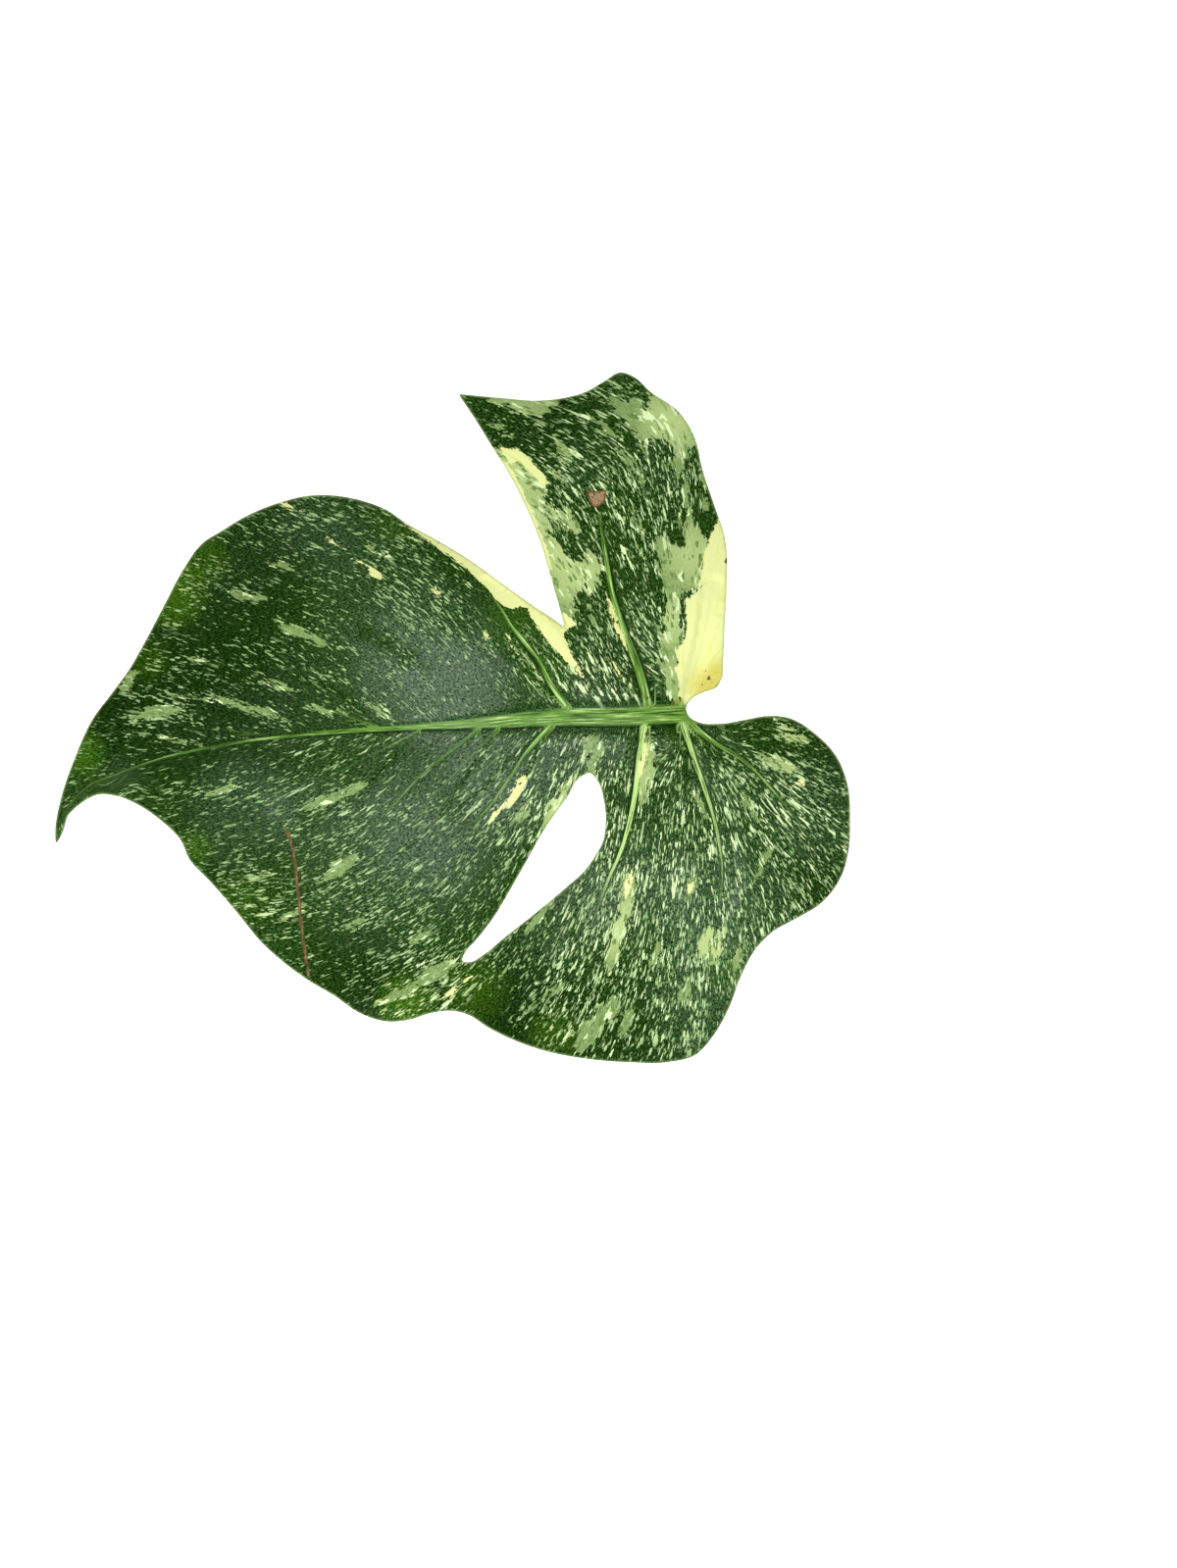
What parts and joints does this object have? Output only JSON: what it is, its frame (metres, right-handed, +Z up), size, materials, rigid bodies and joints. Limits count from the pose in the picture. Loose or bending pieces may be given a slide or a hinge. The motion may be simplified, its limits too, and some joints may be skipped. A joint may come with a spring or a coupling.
{
  "type": "monstera leaf",
  "caption": "Lobed, splashed green and cream climbing-plant leaf, picked with a short stalk and lying face up as a shallow dome.",
  "frame": {"origin": "on the surface that the leaf lies on, under the middle of its outline", "axes": "+X from the drip tip towards the head of the midrib, +Y across the leaf towards the notched side, +Z up, out of the upper face"},
  "size_m": [0.292, 0.2533, 0.0377],
  "materials": {
    "leaf_blade": "waxy satin, deep green splashed with sage green and cream",
    "petiole": "satin, mid green with pale lengthwise streaks"
  },
  "bodies": {
    "root": {"leaf_blade": "leaf_blade", "petiole": "petiole"}
  },
  "joints": []
}
